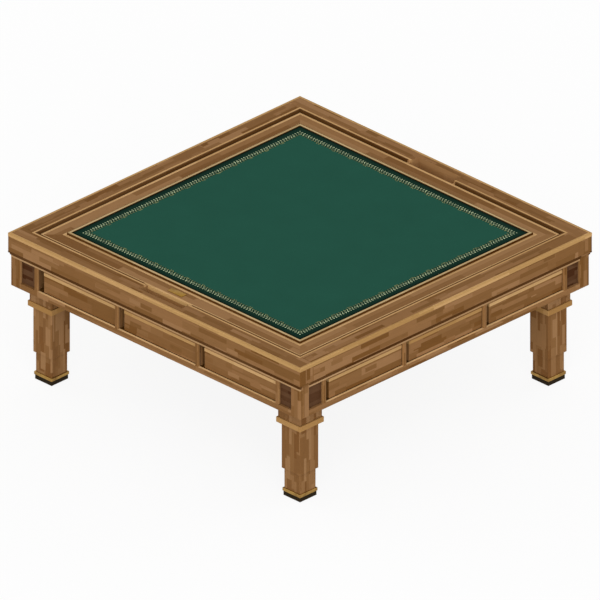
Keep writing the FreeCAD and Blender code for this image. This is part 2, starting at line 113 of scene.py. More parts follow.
def seen_share(tree):
    """1 for what the camera sees, directly, in a gloss or through glass."""
    path = tree.nodes.new("ShaderNodeLightPath")
    share = path.outputs["Is Camera Ray"]
    for name in ("Is Glossy Ray", "Is Transmission Ray"):
        either = tree.nodes.new("ShaderNodeMath")
        either.operation = "MAXIMUM"
        tree.links.new(share, either.inputs[0])
        tree.links.new(path.outputs[name], either.inputs[1])
        share = either.outputs[0]
    return share


def mix_shaders(tree, share, first, second):
    """A shader that goes from the first to the second with a share."""
    mix = tree.nodes.new("ShaderNodeMixShader")
    tree.links.new(share, mix.inputs["Fac"])
    tree.links.new(first.outputs[0], mix.inputs[1])
    tree.links.new(second.outputs[0], mix.inputs[2])
    return mix


def add_lamp(name, strength, azimuth):
    """A broad soft lamp, far away."""
    lamp = bpy.data.lights.new(name, "SUN")
    lamp.energy = strength
    lamp.angle = LAMP_SPREAD
    holder = bpy.data.objects.new(name, lamp)
    holder.rotation_euler = (-towards(azimuth, LAMP_ELEVATION)).to_track_quat("-Z", "Y").to_euler()
    bpy.context.scene.collection.objects.link(holder)


def make_light():
    """An even white sky, a lamp on the viewer's side and two weaker ones behind."""
    world = bpy.data.worlds.new("studio")
    bpy.context.scene.world = world
    world.use_nodes = True
    tree = world.node_tree
    sky = tree.nodes["Background"]
    sky.inputs["Color"].default_value = WHITE
    sky.inputs["Strength"].default_value = SKY_STRENGTH
    backdrop = tree.nodes.new("ShaderNodeBackground")
    backdrop.inputs["Color"].default_value = WHITE
    backdrop.inputs["Strength"].default_value = BACKDROP_STRENGTH
    mix = mix_shaders(tree, seen_share(tree), sky, backdrop)
    tree.links.new(mix.outputs[0], tree.nodes["World Output"].inputs["Surface"])
    add_lamp("key", KEY_STRENGTH, CAMERA_AZIMUTH)
    add_lamp("back_fill", FILL_STRENGTH, CAMERA_AZIMUTH + FILL_TURN)
    add_lamp("left_fill", FILL_STRENGTH, CAMERA_AZIMUTH - FILL_TURN)


def floor_material():
    """White with a share of the table's shadow, and clear from below, to show the underside."""
    material = bpy.data.materials.new("floor")
    material.use_nodes = True
    tree = material.node_tree
    tree.nodes.remove(tree.nodes["Principled BSDF"])
    paint = tree.nodes.new("ShaderNodeBsdfDiffuse")
    paint.inputs["Color"].default_value = FLOOR_PAINT
    white = tree.nodes.new("ShaderNodeEmission")
    white.inputs["Strength"].default_value = BACKDROP_STRENGTH
    share = tree.nodes.new("ShaderNodeMath")
    share.operation = "MULTIPLY"
    share.inputs[1].default_value = 1 - FLOOR_SHADOW_SHARE
    tree.links.new(seen_share(tree), share.inputs[0])
    above = mix_shaders(tree, share.outputs[0], paint, white)
    clear = tree.nodes.new("ShaderNodeBsdfTransparent")
    side = tree.nodes.new("ShaderNodeNewGeometry")
    both = mix_shaders(tree, side.outputs["Backfacing"], above, clear)
    tree.links.new(both.outputs[0], tree.nodes["Material Output"].inputs["Surface"])
    return material


def make_floor():
    """A plain white floor."""
    half = FLOOR_SIDE / 2
    corners = [(-half, -half, 0), (half, -half, 0), (half, half, 0), (-half, half, 0)]
    mesh = bpy.data.meshes.new("floor")
    mesh.from_pydata(corners, [], [(0, 1, 2, 3)])
    mesh.materials.append(floor_material())
    floor = bpy.data.objects.new("floor", mesh)
    bpy.context.scene.collection.objects.link(floor)


# Material nodes

# The middle of a noise, and the range that holds most of it.
NOISE_MIDDLE = 0.5
NOISE_RANGE = (0.3, 0.7)
# Sockets of a mix of numbers or colours: its share, and what it mixes.
NUMBER_SOCKETS = (0, 2, 3)
COLOUR_SOCKETS = (0, 6, 7)


def linear(red, green, blue):
    """A screen's colour, from 0 to 255, in the linear values of a shader, by the sRGB curve."""
    shares = [value / 255 for value in (red, green, blue)]
    return (*[s / 12.92 if s <= 0.04045 else ((s + 0.055) / 1.055) ** 2.4 for s in shares], 1.0)


class Graph:
    """The nodes of one material, with short forms for the kinds used here."""

    def __init__(self, name):
        self.material = bpy.data.materials.new(name)
        self.material.use_nodes = True
        self.tree = self.material.node_tree
        self.shader = self.tree.nodes["Principled BSDF"]

    def feed(self, socket, value):
        """Link a socket to another one, or set it to a constant."""
        if isinstance(value, bpy.types.NodeSocket):
            self.tree.links.new(value, socket)
        else:
            socket.default_value = value

    def add(self, kind, inputs=(), **settings):
        """A node with its settings, and inputs given by name."""
        node = self.tree.nodes.new("ShaderNode" + kind)
        for name, value in settings.items():
            setattr(node, name, value)
        for name, value in dict(inputs).items():
            self.feed(node.inputs[name], value)
        return node

    def math(self, operation, first, second=0.0):
        node = self.add("Math", operation=operation)
        self.feed(node.inputs[0], first)
        self.feed(node.inputs[1], second)
        return node.outputs[0]

    def chain(self, operation, values):
        """One value from several, taken together from the left."""
        total = values[0]
        for value in values[1:]:
            total = self.math(operation, total, value)
        return total

    def add_up(self, *values):
        return self.chain("ADD", values)

    def times(self, *values):
        return self.chain("MULTIPLY", values)

    def largest(self, *values):
        return self.chain("MAXIMUM", values)

    def absolute(self, value):
        return self.math("ABSOLUTE", value)

    def above(self, value, limit):
        """1 where a value is over a limit."""
        return self.math("GREATER_THAN", value, limit)

    def below(self, value, limit):
        """1 where a value is under a limit."""
        return self.math("LESS_THAN", value, limit)

    def between(self, value, low, high):
        """1 where a value lies between two limits."""
        return self.times(self.above(value, low), self.below(value, high))

    def opposite(self, share):
        return self.math("SUBTRACT", 1.0, share)

    def swing(self, noise):
        """A noise moved to lie about 0."""
        return self.math("SUBTRACT", noise, NOISE_MIDDLE)

    def pick(self, share, low, high):
        """A number that goes from low to high with a share."""
        node = self.add("Mix", data_type="FLOAT")
        for socket, value in zip(NUMBER_SOCKETS, (share, low, high)):
            self.feed(node.inputs[socket], value)
        return node.outputs[0]

    def tint(self, share, low, high):
        """A colour that goes from low to high with a share."""
        node = self.add("Mix", data_type="RGBA")
        for socket, value in zip(COLOUR_SOCKETS, (share, low, high)):
            self.feed(node.inputs[socket], value)
        return node.outputs[2]

    def rescale(self, value, old, new=(0.0, 1.0)):
        """A number moved from one range to another, and held inside it."""
        node = self.add("MapRange")
        for socket, number in enumerate((value, *old, *new)):
            self.feed(node.inputs[socket], number)
        return node.outputs[0]

    def brighten(self, colour, value):
        """A colour whose value is multiplied."""
        return self.add("HueSaturation", {"Color": colour, "Value": value}).outputs["Color"]

    def place(self):
        """The place on the table, in metres."""
        return self.add("TexCoord").outputs["Object"]

    def split(self, vector):
        return self.add("SeparateXYZ", {"Vector": vector}).outputs

    def join(self, x, y, z):
        return self.add("CombineXYZ", {"X": x, "Y": y, "Z": z}).outputs[0]

    def noise(self, vector, scale, detail=2.0, roughness=0.5):
        inputs = {"Vector": vector, "Scale": scale, "Detail": detail, "Roughness": roughness}
        return self.add("TexNoise", inputs).outputs["Fac"]

    def chance(self, vector):
        """A random number that belongs to a whole-number place."""
        return self.add("TexWhiteNoise", {"Vector": vector}, noise_dimensions="3D").outputs["Value"]

    def ramp(self, share, stops, interpolation):
        """A colour by a share from 0 to 1, from a list of (position, colour)."""
        node = self.add("ValToRGB", {"Fac": share})
        node.color_ramp.interpolation = interpolation
        elements = node.color_ramp.elements
        for index, (position, colour) in enumerate(stops):
            element = elements[index] if index < 2 else elements.new(1.0)
            element.position = position
            element.color = linear(*colour)
        return node.outputs["Color"]

    def surface(self, colour, roughness, constants):
        """The shader's colour and roughness, and its inputs that are the same all over."""
        self.feed(self.shader.inputs["Base Color"], colour)
        self.feed(self.shader.inputs["Roughness"], roughness)
        for name, value in constants.items():
            self.shader.inputs[name].default_value = value

    def bump(self, height, strength, distance):
        inputs = {"Height": height, "Strength": strength, "Distance": distance}
        self.feed(self.shader.inputs["Normal"], self.add("Bump", inputs).outputs["Normal"])


# Woods

# Shares and steps in tone of a darker, a middle and a paler stave.
SHADE_STEPS = ((30, -6), (40, 0), (30, 6))


def shades(red, green, blue):
    """Three tones of one wood about the one given, with the share of each."""
    return [(share, (red + step, green + step, blue + step)) for share, step in SHADE_STEPS]


# Tones of the woods: shares of the staves, and their colours from 0 to 255.
BROWN = (
    (8, (112, 75, 37)),
    (20, (118, 82, 45)),
    (20, (125, 88, 51)),
    (21, (131, 94, 57)),
    (18, (137, 99, 62)),
    (13, (146, 108, 71)),
)
INNER_RAIL = (
    (26, (119, 82, 45)),
    (26, (129, 92, 55)),
    (26, (139, 101, 63)),
    (22, (148, 110, 72)),
)
LEG = (
    (22, (117, 79, 43)),
    (22, (123, 86, 50)),
    (18, (130, 93, 56)),
    (20, (138, 101, 64)),
    (18, (147, 110, 73)),
)
PALE = (
    (12, (168, 129, 78)),
    (26, (175, 136, 85)),
    (36, (181, 142, 90)),
    (20, (186, 146, 95)),
    (6, (192, 152, 101)),
)
PANEL = (
    (14, (69, 40, 21)),
    (43, (81, 53, 33)),
    (43, (91, 63, 42)),
)
# Stile sides in the recesses: painted lighter than the wood, to offset the shade there.
LIT_REVEAL = shades(152, 112, 69)
# Wood inside the wells and on the frame that closes them: painted lighter, to offset the shade in the
# wells.
LIT_WELL = shades(160, 121, 79)
LIT_WELL_FACE = shades(177, 133, 85)
LIT_WELL_EDGE = shades(213, 173, 114)
BAND = shades(187, 149, 100)
BAND_MIDDLE = shades(169, 130, 80)
EDGING = shades(196, 156, 107)
TOP_BEAD = shades(172, 136, 96)
# Painted shade: the dark inside of the groove.
GROOVE_SHADE = shades(88, 57, 26)
STRIP = shades(186, 146, 97)
BEAD = shades(185, 158, 114)
LEG_BAND = shades(164, 124, 74)
LEDGE = shades(228, 188, 134)
# Dark wood of the carcass; the same tones are painted shade under the drawers and on the bead's inner
# edge.
DARK = shades(81, 50, 16)
# Painted shade: the dark strip under the rim's overhang.
MOULDING_SHADE = shades(82, 51, 22)
# Painted shade deep in the finger slots, on the stiles' sides.
SLOT_SHADE = shades(106, 75, 49)
RISER = shades(86, 53, 17)
BARE = shades(168, 132, 88)

# Layers of staves: a stave's length and width, and the share of the layer that covers those before it.
BOARD = (
    (190 * MM, 21.0 * MM, 1.0),
    (85 * MM, 10.5 * MM, 0.5),
    (34 * MM, 10.5 * MM, 0.1),
)
RAIL = (
    (330 * MM, 60.0 * MM, 1.0),
    (120 * MM, 20.0 * MM, 0.1),
)
LEG_STAVES = (
    (110 * MM, 15.0 * MM, 1.0),
    (45 * MM, 15.0 * MM, 0.2),
    (60 * MM, 7.5 * MM, 0.25),
)
TRIM = (
    (230 * MM, 21.0 * MM, 1.0),
)
SEAM = 0.25 * MM

# Steps between the seeds of boards, layers and marks, which keep their staves different.
BOARD_STEP = 5.3
LAYER_STEP = 3.7
MARK_STEP = 11.3
# How far a row of staves can be shifted, in staves, and the third number of its draw.
ROW_SHIFT = 9.0
ROW_KEY = 0.5
# A stave's draw times this, less its whole part, says whether it covers the layers before it.
LAYER_DRAW = 7.31
# How far the grain moves from stave to stave, in metres.
STAVE_SHIFT = 3.0

# How square a face is to an axis, from 0 to 1.
END_FACING = 0.7
FLAT_FACING = 0.95
LEVEL_FACING = 0.9

# Noises on a wood: waves per metre along and across the grain, detail and roughness.
FIBRE = (9.0, 420.0, 4.0, 0.62)
PORES = (45.0, 1500.0, 1.0, 0.5)
CLOUDS = (27.0, 9.0, 2.0, 0.5)
RUBS = (60.0, 60.0, 3.0, 0.5)
PORE_RANGE = (0.64, 0.74)
RUB_RANGE = (0.35, 0.7)
RUB_SHARES = (0.2, 1.0)

# What they do to the wood's brightness, height and roughness.
FIBRE_SHADE = 0.26
CLOUD_SHADE = 0.10
PORE_SHADE = -0.14
SEAM_SHADE = -0.16
FIBRE_RISE = 0.5
PORE_RISE = -0.8
SEAM_RISE = -1.0
WOOD_ROUGHNESS = 0.5
FIBRE_ROUGHNESS = 0.18
PORE_ROUGHNESS = 0.12
RUB_ROUGHNESS = -0.10
WOOD_SPECULAR = 0.015
# A bump, here and below: its strength and its height.
WOOD_BUMP = (0.35, 0.25 * MM)

# Brightness added on bevels: rubbed edges are paler, and a line between two woods is darker.
RUBBED = 0.16
STILE_RUBBED = 0.05
JOINT_LINE = -0.45
# Contrast of the grain in narrow trims.
TRIM_CONTRAST = 0.7


def from_middle(graph, x, y):
    """How far out a place is, square to the sides of the table."""
    return graph.largest(graph.absolute(x), graph.absolute(y))


class Grain:
    """Places on a board: along the grain, across it, and through its thickness.

    The direction is x, y, z or round, which follows the sides of the table. on_side is 1 towards
    the left and right sides, outward is how far out a place is, square to its side, and bevel is 1
    on faces that are square to no axis.
    """

    def __init__(self, graph, direction):
        self.graph = graph
        x, y, z = graph.split(graph.place())
        nx, ny, nz = graph.split(graph.add("NewGeometry").outputs["True Normal"])
        self.height = z
        self.upward = nz
        self.on_side = graph.above(graph.absolute(x), graph.absolute(y))
        self.sideways = graph.absolute(graph.pick(self.on_side, nx, ny))
        self.outward = from_middle(graph, x, y)
        self.board = 0.0
        if direction == "round":
            self.along = graph.pick(self.on_side, x, y)
            outward = graph.pick(self.on_side, y, x)
            self.across = graph.absolute(outward)
            self.through = z
            facing = self.sideways
            self.board = graph.add_up(graph.times(self.on_side, 2.0), graph.above(outward, 0.0))
        else:
            self.along, self.across, self.through, facing = {
                "x": (x, y, z, nx),
                "y": (y, x, z, ny),
                "z": (z, x, y, nz),
            }[direction]
        end = graph.above(graph.absolute(facing), END_FACING)
        self.course = graph.pick(end, self.along, self.through)
        self.row = graph.add_up(self.across, graph.times(self.through, graph.opposite(end)))
        squareness = graph.largest(*[graph.absolute(part) for part in (nx, ny, nz)])
        self.bevel = graph.below(squareness, FLAT_FACING)

    def noise(self, kind, shift=0.0):
        """A noise that is drawn out along the grain."""
        along, across, detail, roughness = kind
        place = self.graph.join(
            self.graph.times(self.graph.add_up(self.along, shift), along),
            self.graph.times(self.across, across),
            self.graph.times(self.through, across),
        )
        return self.graph.noise(place, 1.0, detail, roughness)

    def staves(self, length, width, seed):
        """A random number for each stave of a board, and 1 along the staves' edges."""
        graph = self.graph
        across = graph.add_up(graph.math("DIVIDE", self.row, width), seed)
        row = graph.math("FLOOR", across)
        board = graph.add_up(graph.times(self.board, BOARD_STEP), seed)
        shift = graph.times(graph.chance(graph.join(row, board, ROW_KEY)), ROW_SHIFT)
        along = graph.add_up(graph.math("DIVIDE", self.course, length), shift)
        value = graph.chance(graph.join(row, graph.math("FLOOR", along), board))
        near_side = graph.below(graph.math("FRACT", across), SEAM / width)
        near_end = graph.below(graph.math("FRACT", along), SEAM / length)
        return value, graph.largest(near_side, near_end)


def stave_tones(graph, tone, tones):
    """Colour of a stave by its random number, from a list of (share, colour)."""
    whole = sum(share for share, colour in tones)
    stops = []
    start = 0.0
    for share, colour in tones:
        stops.append((start / whole, colour))
        start += share
    return graph.ramp(tone, stops, "CONSTANT")


def timber(graph, grain, tones, layers, seed, contrast=1.0, bevel=RUBBED):
    """Colour of a staved board, the height of its grain and its roughness."""
    tone, edge = 0.0, 0.0
    for number, (length, width, share) in enumerate(layers):
        value, line = grain.staves(length, width, seed + LAYER_STEP * number)
        chosen = graph.below(graph.math("FRACT", graph.times(value, LAYER_DRAW)), share)
        tone = graph.pick(chosen, tone, value)
        edge = graph.pick(chosen, edge, line)

    shift = graph.times(tone, STAVE_SHIFT)
    fibre = grain.noise(FIBRE, shift)
    streak = graph.swing(fibre)
    pore = graph.rescale(grain.noise(PORES, shift), PORE_RANGE)
    cloud = graph.swing(grain.noise(CLOUDS, shift))
    wear = graph.times(grain.bevel, graph.rescale(grain.noise(RUBS), RUB_RANGE, RUB_SHARES))

    brightness = graph.add_up(
        1.0,
        graph.times(streak, FIBRE_SHADE * contrast),
        graph.times(cloud, CLOUD_SHADE * contrast),
        graph.times(pore, PORE_SHADE * contrast),
        graph.times(edge, SEAM_SHADE),
        graph.times(wear, bevel),
    )
    colour = graph.brighten(stave_tones(graph, tone, tones), brightness)
    height = graph.add_up(
        graph.times(fibre, FIBRE_RISE),
        graph.times(pore, PORE_RISE),
        graph.times(edge, SEAM_RISE),
    )
    rough = graph.add_up(
        WOOD_ROUGHNESS,
        graph.times(streak, FIBRE_ROUGHNESS),
        graph.times(pore, PORE_ROUGHNESS),
        graph.times(wear, RUB_ROUGHNESS),
    )
    return colour, height, rough


def wood(name, direction, tones, layers, seed, contrast=1.0, bevel=RUBBED, marks=()):
    """Oiled wood with its grain along one direction, or round the table.

    Parts of it can have other tones: each mark is a mask, made from the graph and the grain, and
    the tones there.
    """
    graph = Graph(name)
    grain = Grain(graph, direction)
    colour, height, rough = timber(graph, grain, tones, layers, seed, contrast, bevel)
    for number, (mask, other_tones) in enumerate(marks, start=1):
        share = mask(graph, grain)
        other = timber(graph, grain, other_tones, TRIM, seed + MARK_STEP * number, bevel=bevel)
        colour = graph.tint(share, colour, other[0])
        height = graph.pick(share, height, other[1])
        rough = graph.pick(share, rough, other[2])
    graph.surface(colour, rough, {"Specular IOR Level": WOOD_SPECULAR})
    graph.bump(height, *WOOD_BUMP)
    return graph.material


# Metals and the black feet

# Bright and dull colours of a brass.
FOOT_BRASS = ((169, 133, 70), (132, 99, 52))
PLATE_BRASS = ((152, 114, 38), (130, 96, 32))
PLATE_SEED = 3.0
# A noise, here and below: waves per metre, detail and roughness.
TARNISH = (55.0, 4.0, 0.6)
TARNISH_RANGE = (0.4, 0.68)
# Rubbing marks: waves per metre round the strip and up it.
MARKS_ROUND = 150.0
MARKS_UP = 2600.0
BRASS_ROUGHNESS = 0.30
TARNISH_ROUGHNESS = 0.2
MARKS_ROUGHNESS = 0.12
BRASS_RISE = 0.5
BRASS_BUMP = (0.2, 0.1 * MM)


def brass(name, tones, seed=0.0):
    """Aged brass: dull patches, and fine rubbing marks along the strip."""
    graph = Graph(name)
    bright, dull = tones
    x, y, z = graph.split(graph.place())
    tarnish = graph.noise(graph.join(graph.add_up(x, seed), y, z), *TARNISH)
    stretched = graph.join(
        graph.times(x, MARKS_ROUND),
        graph.times(y, MARKS_ROUND),
        graph.times(z, MARKS_UP),
    )
    marks = graph.noise(stretched, 1.0)
    share = graph.rescale(tarnish, TARNISH_RANGE)
    rough = graph.add_up(
        BRASS_ROUGHNESS,
        graph.times(share, TARNISH_ROUGHNESS),
        graph.times(marks, MARKS_ROUGHNESS),
    )
    graph.surface(graph.tint(share, linear(*bright), linear(*dull)), rough, {"Metallic": 1.0})
    height = graph.add_up(graph.times(tarnish, BRASS_RISE), graph.times(marks, BRASS_RISE))
    graph.bump(height, *BRASS_BUMP)
    return graph.material


ZINC_TONES = ((168, 170, 174), (196, 197, 200))
RINGS = (40.0, 3.0)
RING_STRETCH = 60.0
ZINC_ROUGHNESS = (0.25, 0.45)


def steel():
    """Zinc-plated steel with a fine turned finish."""
    graph = Graph("zinc_steel")
    dull, bright = ZINC_TONES
    x, y, z = graph.split(graph.place())
    rings = graph.noise(graph.join(x, y, graph.times(z, RING_STRETCH)), *RINGS)
    rough = graph.rescale(rings, NOISE_RANGE, ZINC_ROUGHNESS)
    graph.surface(graph.tint(rings, linear(*dull), linear(*bright)), rough, {"Metallic": 1.0})
    return graph.material


FOOT_TONES = ((38, 29, 16), (66, 55, 38))
SCUFF = (240.0, 4.0, 0.65)
SCUFF_RANGE = (0.5, 0.7)
SCUFF_REACH = 5 * MM
SCUFF_SHARE = 0.6
FOOT_ROUGHNESS = (0.45, 0.7)
FOOT_SPECULAR = 0.04
FOOT_BUMP = (0.2, 0.15 * MM)


def black_foot():
    """Near-black wood with scuffs close to the floor."""
    graph = Graph("black_foot")
    plain, scuffed = FOOT_TONES
    place = graph.place()
    scuff = graph.noise(place, *SCUFF)
    low = graph.rescale(graph.split(place)["Z"], (0.0, SCUFF_REACH), (SCUFF_SHARE, 0.0))
    share = graph.times(graph.rescale(scuff, SCUFF_RANGE), low)
    rough = graph.rescale(scuff, NOISE_RANGE, FOOT_ROUGHNESS)
    colour = graph.tint(share, linear(*plain), linear(*scuffed))
    graph.surface(colour, rough, {"Specular IOR Level": FOOT_SPECULAR})
    graph.bump(scuff, *FOOT_BUMP)
    return graph.material


# Baize and thread

# Colours of the baize, by the distance in from the edge of the top; the last one goes on to the middle.
# The near-black first ones, beside the bead, are painted shade along the cloth's pressed-down edge; then
# it stays darker under the border.
FELT_TONES_AND_EDGE_SHADE = (
    (95 * MM, (3, 8, 3)),
    (99 * MM, (5, 14, 7)),
    (103 * MM, (13, 35, 27)),
    (110 * MM, (17, 42, 33)),
    (123 * MM, (19, 46, 33)),
    (129 * MM, (33, 78, 64)),
)
FELT_ZONE = (95 * MM, 145 * MM)
FELT_FIBRE = (900.0, 3.0, 0.7)
FELT_MOTTLE = (16.0, 3.0)
FIBRE_CONTRAST = 0.5
MOTTLE_CONTRAST = 0.14
FELT_ROUGHNESS = (0.88, 1.0)
FELT_CONSTANTS = {
    "Specular IOR Level": 0.02,
    "Sheen Weight": 0.03,
    "Sheen Roughness": 0.6,
    "Sheen Tint": linear(90, 160, 135),
}
FELT_BUMP = (0.5, 0.3 * MM)


def baize():
    """Green baize: short wool fibres, a little mottled, darker under the border, with painted shade
    outside it along the bead.
    """
    graph = Graph("green_baize")
    place = graph.place()
    x, y = graph.split(place)[:2]
    start, stop = FELT_ZONE
    inset = graph.rescale(from_middle(graph, x, y), (cad_high.x - start, cad_high.x - stop))
    stops = [((distance - start) / (stop - start), colour) for distance, colour in FELT_TONES_AND_EDGE_SHADE]
    felt = graph.ramp(inset, stops, "LINEAR")
    fibre = graph.noise(place, *FELT_FIBRE)
    mottle = graph.noise(place, *FELT_MOTTLE)
    brightness = graph.add_up(
        1.0,
        graph.times(graph.swing(fibre), FIBRE_CONTRAST),
        graph.times(graph.swing(mottle), MOTTLE_CONTRAST),
    )
    rough = graph.rescale(fibre, NOISE_RANGE, FELT_ROUGHNESS)
    graph.surface(graph.brighten(felt, brightness), rough, FELT_CONSTANTS)
    graph.bump(fibre, *FELT_BUMP)
    return graph.material


PALE_THREAD = ((160, 174, 136), (178, 190, 152))
OLIVE_THREAD = ((116, 118, 74), (132, 132, 86))
OLIVE_START = 123.6 * MM
THREAD_CELL = 4.1 * MM
THREAD_WEAR = (0.5, 1.5)
TWIST = (2600.0, 1.0)
TWIST_SLANT = 4.0
TWIST_SHADES = (0.8, 1.12)
AGE_SCALE = 30.0
THREAD_ROUGHNESS = (0.6, 0.75)
THREAD_SPECULAR = 0.1
THREAD_BUMP = (0.3, 0.1 * MM)


def gold_thread():
    """Pale thread with its twist, unevenly worn, of a duller olive on the border's inner side."""
    graph = Graph("gold_thread")
    place = graph.place()
    x, y, z = graph.split(place)
    inner = graph.below(from_middle(graph, x, y), cad_high.x - OLIVE_START)
    slanted = graph.join(graph.add_up(x, y), graph.times(z, TWIST_SLANT), 0.0)
    twist = graph.noise(slanted, *TWIST)
    age = graph.noise(place, AGE_SCALE)
    pale, olive = [
        graph.tint(age, linear(*dark), linear(*light))
        for dark, light in (PALE_THREAD, OLIVE_THREAD)
    ]
    column, row = [graph.math("FLOOR", graph.math("DIVIDE", side, THREAD_CELL)) for side in (x, y)]
    worn = graph.rescale(graph.chance(graph.join(column, row, 0.0)), (0.0, 1.0), THREAD_WEAR)
    brightness = graph.times(graph.rescale(twist, NOISE_RANGE, TWIST_SHADES), worn)
    colour = graph.brighten(graph.tint(inner, pale, olive), brightness)
    rough = graph.rescale(age, NOISE_RANGE, THREAD_ROUGHNESS)
    graph.surface(colour, rough, {"Specular IOR Level": THREAD_SPECULAR})
    graph.bump(twist, *THREAD_BUMP)
    return graph.material


# Parts of a piece that have another tone

BAND_BELOW_TOP = 6.0 * MM
BAND_HEIGHT = 7.6 * MM
LEDGE_REACH = 369.8 * MM
LEDGE_HEIGHT = 241.5 * MM
LEDGE_MARGIN = 1.0 * MM
WELL_REACH = 66.6 * MM
WELL_START = 17.9 * MM
STOP_REACH = 72.6 * MM
REVEAL_DEPTH = 5.6 * MM
BEAD_EDGE = 96.2 * MM
SKIN = 0.2 * MM


def band_mask(top):
    """Marks the pale band let into a drawer front, below its top edge."""
    high = top - BAND_BELOW_TOP
    return lambda graph, grain: graph.between(grain.height, high - BAND_HEIGHT, high)


def on_ledge(graph, grain):
    """Marks the flat top of the bottom rail, between the corners."""
    upward = graph.above(grain.upward, LEVEL_FACING)
    level = graph.between(grain.height, LEDGE_HEIGHT - LEDGE_MARGIN, LEDGE_HEIGHT + LEDGE_MARGIN)
    inside = graph.below(graph.absolute(grain.along), LEDGE_REACH)
    return graph.times(upward, level, inside)


def drawer_plane():
    """Distance of the drawers' faces from the middle of the table."""
    return -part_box("front_left_drawer_front")[0].y - SKIN


def ledge_mask(graph, grain):
    """Marks the ledge in front of the drawers."""
    return graph.times(on_ledge(graph, grain), graph.above(grain.across, drawer_plane()))


def under_shade_mask(graph, grain):
    """Marks the rail's top under the drawers, painted dark as the shade in the gap there."""
    return graph.times(on_ledge(graph, grain), graph.below(grain.across, drawer_plane()))


def well_mask(graph, grain):
    """Marks the inside of the two wells in the rim, painted lighter to offset the shade in them."""
    near = graph.below(graph.absolute(grain.along), WELL_REACH)
    inward = graph.below(graph.absolute(grain.across), cad_high.y - WELL_START)
    under = graph.below(grain.height, cad_high.z - SKIN)
    return graph.times(near, inward, under)


def well_face_mask(graph, grain):
    """Marks the outer face of the inner frame where it closes a well; the rail and its pale edging are
    painted lighter there, to offset the shade in the well.
    """
    near = graph.below(graph.absolute(grain.along), WELL_REACH)
    outer = graph.above(grain.across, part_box("inner_rails")[1].y - SKIN)
    return graph.times(near, outer, graph.opposite(grain.on_side))


def stop_mask(graph, grain):
    """Marks the stops that close the groove at the wells, painted lighter to offset the shade there."""
    near = graph.below(graph.absolute(grain.along), STOP_REACH)
    return graph.times(near, graph.opposite(grain.on_side))


def reveal_mask(graph, grain):
    """Marks the sides of the stiles, in the recesses between them; they are painted lighter, to offset
    the shade there.
    """
    return graph.above(grain.sideways, END_FACING)


def slot_shade_mask(graph, grain):
    """Marks the inner part of the stiles' sides, in the slots behind the drawers' faces, painted dark as
    the shade there.
    """
    deep = graph.below(grain.outward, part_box("apron_stiles")[1].y - REVEAL_DEPTH)
    return graph.times(reveal_mask(graph, grain), deep)


def bead_shade_mask(graph, grain):
    """Marks the inner edge of the bead, beside the cloth, painted dark as a shadow line."""
    return graph.below(grain.outward, cad_high.x - BEAD_EDGE)


# Which material each piece has

BOX_SEED = 20.0
DRAWER_SEED = 36.0
LEG_SEED = 56.0


def dress(material, *names):
    """Give a material to CAD nodes."""
    for name in names:
        mesh = nodes[name].data
        mesh.materials.clear()
        mesh.materials.append(material)


def dress_rim():
    """Boards of the rim, their lippings, the groove and its strip; the groove's lining is painted dark,
    as the shade inside the groove.
    """
    # Wells and the groove's stops beside them: painted lighter, to offset their shade.
    wells = [(well_mask, LIT_WELL)]
    stops = [(stop_mask, LIT_WELL)]
    dress(wood("rim_wood_long", "x", BROWN, BOARD, seed=1.0, marks=wells), "rim_long_boards")
    dress(wood("rim_wood_side", "y", BROWN, BOARD, seed=2.0), "rim_side_boards")
    dress(wood("lipping_wood", "round", PALE, TRIM, seed=7.0, contrast=TRIM_CONTRAST), "rim_lippings")
    strip = wood("strip_wood", "round", STRIP, TRIM, seed=8.0, contrast=TRIM_CONTRAST, bevel=JOINT_LINE)
    dress(strip, "groove_strips")
    dress(wood("groove_shade_wood", "round", GROOVE_SHADE, TRIM, seed=11.0, marks=stops), "groove_lining")


def dress_field():
    """Inner frame with its edging, the bead on its riser, and what carries the cloth."""
    # The frame's face and edging at the wells: painted lighter, to offset the shade in the wells.
    faces = [(well_face_mask, LIT_WELL_FACE)]
    edges = [(well_face_mask, LIT_WELL_EDGE)]
    # A painted shadow line on the bead's inner edge, beside the cloth.
    shade_lines = [(bead_shade_mask, DARK)]
    dress(wood("rail_wood", "round", INNER_RAIL, RAIL, seed=9.9, marks=faces), "inner_rails")
    edging = wood("edging_wood", "round", EDGING, TRIM, seed=3.0, bevel=JOINT_LINE, marks=edges)
    dress(edging, "inner_rail_edging")
    bead = wood("field_bead_wood", "round", BEAD, TRIM, seed=9.6, bevel=JOINT_LINE, marks=shade_lines)
    dress(bead, "field_beads")
    dress(wood("riser_wood", "round", RISER, TRIM, seed=12.0), "bead_risers")
    plywood = wood("plywood", "x", BARE, BOARD, seed=14.0)
    dress(plywood, "playing_board", "field_ledgers", "cross_battens")


